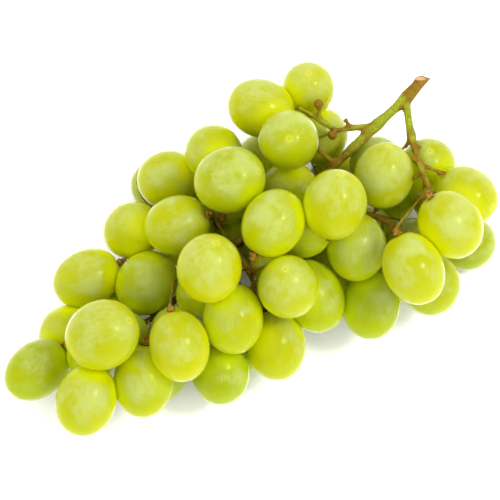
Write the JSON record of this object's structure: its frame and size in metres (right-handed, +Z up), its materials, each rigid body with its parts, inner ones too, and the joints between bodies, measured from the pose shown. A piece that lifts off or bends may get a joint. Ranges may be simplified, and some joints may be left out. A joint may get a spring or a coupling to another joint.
{
  "type": "bunch of grapes",
  "caption": "Bunch of green table grapes lying on its side: plump oval berries crowded on a branching woody stem with a thick cut end.",
  "frame": {"origin": "centre of the box around the bunch, at the level of the surface it lies on", "axes": "+X along the length of the bunch toward its broad shoulders, +Y toward the cut end of the stem, +Z up"},
  "size_m": [0.186, 0.1402, 0.0801],
  "materials": {
    "berry_skin": "translucent yellow-green skin with a dull waxy bloom",
    "stem_bark": "matt green stalk with brown nodes and a reddish-brown cut end"
  },
  "bodies": {
    "root": {"berries_tip": "berry_skin", "berries_front_left": "berry_skin", "berries_back_left": "berry_skin", "berries_middle": "berry_skin", "berries_front_middle": "berry_skin", "berries_heart": "berry_skin", "berries_back_middle": "berry_skin", "berries_back_shoulder": "berry_skin", "berries_front_shoulder": "berry_skin", "berries_wing": "berry_skin", "stem": "stem_bark"}
  },
  "joints": []
}
